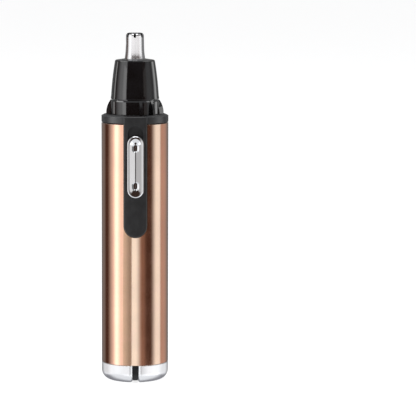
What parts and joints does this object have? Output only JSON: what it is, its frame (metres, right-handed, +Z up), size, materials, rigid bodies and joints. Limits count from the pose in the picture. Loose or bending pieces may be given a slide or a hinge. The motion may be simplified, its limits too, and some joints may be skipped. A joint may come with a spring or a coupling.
{
  "type": "nose hair trimmer",
  "caption": "Slim battery nose hair trimmer: polished metal tube handle, slide switch on a black panel, lift-off head with a slotted rotary cutter, and twist-off battery cap.",
  "frame": {"origin": "centre of the flat base that the trimmer stands on, on the tube's axis", "axes": "+Z up along the tube towards the cutter, -Y towards the slide switch (the front), +X to the right seen from the front"},
  "size_m": [0.0268, 0.0287, 0.1396],
  "materials": {
    "copper_barrel": "polished, copper-coloured anodising",
    "collar_black": "satin moulded ABS",
    "panel_black": "satin moulded ABS",
    "head_black": "gloss moulded ABS",
    "knob_chrome": "bright chrome plating",
    "cap_chrome": "satin-bright chrome plating",
    "cutter_steel": "polished stainless steel",
    "blade_steel": "ground stainless steel",
    "chassis_grey": "moulded ABS",
    "neck_black": "moulded POM",
    "nylon_white": "moulded nylon",
    "seal_rubber": "moulded nitrile",
    "screw_steel": "zinc-plated",
    "spring_steel": "nickel-plated spring wire",
    "contact_nickel": "nickel-plated strip",
    "motor_zinc": "zinc-plated pressed steel",
    "magnet_ferrite": "sintered ferrite",
    "bush_bronze": "sintered bronze",
    "brush_bronze": "phosphor bronze leaf",
    "commutator_copper": "turned copper",
    "winding_copper": "enamelled copper wire",
    "lamination_steel": "stacked silicon steel",
    "shaft_steel": "ground steel",
    "cell_wrap": null,
    "cell_nickel": "nickel-plated steel"
  },
  "bodies": {
    "handle": {"barrel": "copper_barrel", "collar_ring": "collar_black", "switch_panel": "panel_black", "switch_base": "chassis_grey", "motor_strip": "contact_nickel", "chassis_front": "chassis_grey", "chassis_rear": "chassis_grey", "chassis_screws": "screw_steel", "neck_housing": "neck_black", "head_seal": "seal_rubber", "shaft_seal": "seal_rubber", "motor_screws": "screw_steel", "motor_can": "motor_zinc", "motor_magnets": "magnet_ferrite", "motor_end_cap": "nylon_white", "motor_bushes": "bush_bronze", "motor_brushes": "brush_bronze", "positive_contact": "contact_nickel", "negative_strip": "contact_nickel", "bayonet_ring": "neck_black"},
    "switch": {"switch_knob": "knob_chrome", "switch_slider": "nylon_white", "switch_contact": "brush_bronze"},
    "rotor": {"motor_shaft": "shaft_steel", "armature_core": "lamination_steel", "armature_windings": "winding_copper", "commutator": "commutator_copper", "drive_coupler": "nylon_white"},
    "washer": {"thrust_washer": "nylon_white"},
    "head": {"head_base": "head_black", "head_cone": "head_black", "outer_cutter": "cutter_steel", "cutter_retainer": "nylon_white"},
    "cutter": {"cutter_shaft": "nylon_white", "inner_cutter": "blade_steel", "cutter_spring": "spring_steel"},
    "cell": {"cell_can": "cell_wrap", "cell_positive_cap": "cell_nickel"},
    "cap": {"bottom_cap": "cap_chrome", "cap_plug": "neck_black", "cap_seal": "seal_rubber", "cap_contact": "contact_nickel", "cell_spring": "spring_steel"}
  },
  "joints": [
    {"name": "switch_slide", "type": "slide", "parent": "handle", "child": "switch", "axis": [0, 0, 1], "range_m": [0, 0.0035]},
    {"name": "motor_spin", "type": "hinge", "parent": "handle", "child": "rotor", "pos_m": [0, 0, 0.09], "axis": [0, 0, 1], "continuous": true},
    {"name": "head_lift", "type": "slide", "parent": "handle", "child": "washer", "axis": [0, 0, 1], "range_m": [0, 0.03]},
    {"name": "head_twist", "type": "hinge", "parent": "washer", "child": "head", "pos_m": [0, 0, 0.11], "axis": [0, 0, 1], "range_deg": [0, 30]},
    {"name": "cutter_spin", "type": "hinge", "parent": "washer", "child": "cutter", "pos_m": [0, 0, 0.12], "axis": [0, 0, 1], "continuous": true},
    {"name": "cell_slide", "type": "slide", "parent": "handle", "child": "cell", "axis": [0, 0, -1], "range_m": [0, 0.06]},
    {"name": "cap_twist", "type": "hinge", "parent": "cell", "child": "cap", "pos_m": [0, 0, 0.004], "axis": [0, 0, -1], "range_deg": [0, 60]}
  ],
  "couplings": [
    {"joint": "cutter_spin", "follows": "motor_spin", "ratio": 1}
  ]
}
